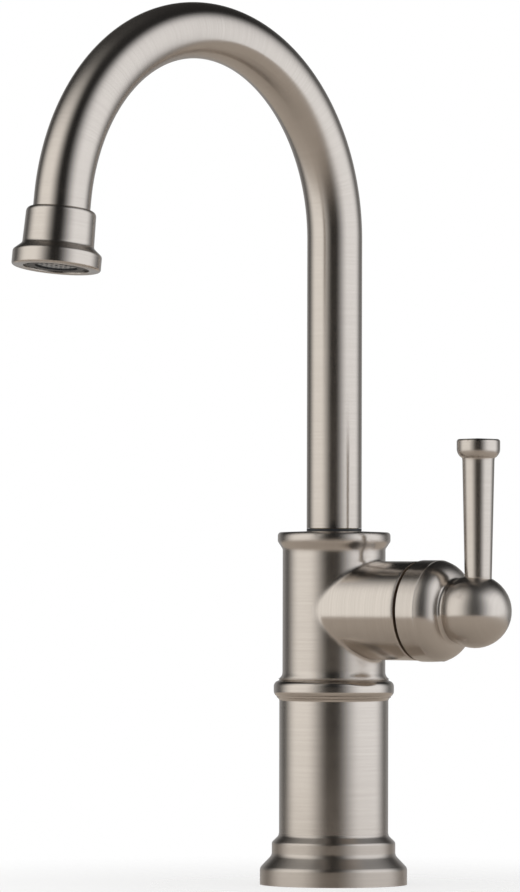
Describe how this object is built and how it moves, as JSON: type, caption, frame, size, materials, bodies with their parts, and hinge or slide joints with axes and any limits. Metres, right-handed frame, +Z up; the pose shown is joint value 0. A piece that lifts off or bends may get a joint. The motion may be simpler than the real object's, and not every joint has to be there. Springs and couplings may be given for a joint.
{
  "type": "bar faucet",
  "caption": "Gooseneck bar faucet in brushed nickel, with a swivelling spout and a side lever on a ball-ended handle.",
  "frame": {"origin": "centre of the base face that stands on the deck, on the axis that the spout turns about", "axes": "+Z up; +X along the handle's axis, away from the body; the spout reaches towards -Y, turned 6 degrees towards -X as in the picture"},
  "size_m": [0.1176, 0.2084, 0.3509],
  "materials": {
    "brushed_nickel": "brushed nickel",
    "brass": "machined",
    "copper": "drawn copper tube",
    "rubber": "matte",
    "black_plastic": "moulded",
    "white_plastic": "moulded",
    "ceramic": "lapped ceramic",
    "steel": "stainless",
    "red_plastic": "moulded"
  },
  "bodies": {
    "faucet_body": {"base_gasket": "rubber", "base_flange": "brushed_nickel", "pedestal": "brushed_nickel", "base_plug": "brass", "riser_hot": "copper", "riser_cold": "copper", "riser_o_rings": "rubber", "valve_body": "brushed_nickel", "cartridge_seals": "rubber", "cartridge_base": "white_plastic", "fixed_disc": "ceramic", "cartridge_body": "white_plastic", "retaining_nut": "brass", "glide_ring": "black_plastic", "spout_set_screw": "steel"},
    "spout": {"spout_spigot": "brass", "spout_o_rings": "rubber", "spout_tube": "brushed_nickel", "outlet_sleeve": "brushed_nickel", "aerator_washer": "rubber", "flow_regulator": "white_plastic", "aerator_housing": "black_plastic", "aerator_screen": "steel"},
    "turret": {"cartridge_turret": "black_plastic", "hot_limit_ring": "red_plastic", "stem_pin": "steel"},
    "handle": {"cartridge_stem": "brass", "handle_hub": "brushed_nickel", "handle_set_screw": "steel", "handle_lever": "brushed_nickel"},
    "disc": {"disc_carrier": "black_plastic", "moving_disc": "ceramic"}
  },
  "joints": [
    {"name": "spout_swivel", "type": "hinge", "parent": "faucet_body", "child": "spout", "pos_m": [0, 0, 0.13], "axis": [0, 0, 1], "continuous": true},
    {"name": "handle_temperature", "type": "hinge", "parent": "faucet_body", "child": "turret", "pos_m": [0.031, 0, 0.1105], "axis": [1, 0, 0], "range_deg": [-45, 45]},
    {"name": "handle_tilt", "type": "hinge", "parent": "turret", "child": "handle", "pos_m": [0.031, 0, 0.1105], "axis": [0, 1, 0], "range_deg": [0, 18]},
    {"name": "disc_slide", "type": "slide", "parent": "turret", "child": "disc", "axis": [0, 0, 1], "range_m": [0, 0.0018]}
  ],
  "couplings": [
    {"joint": "disc_slide", "follows": "handle_tilt", "m_per_rad": 0.0055}
  ]
}
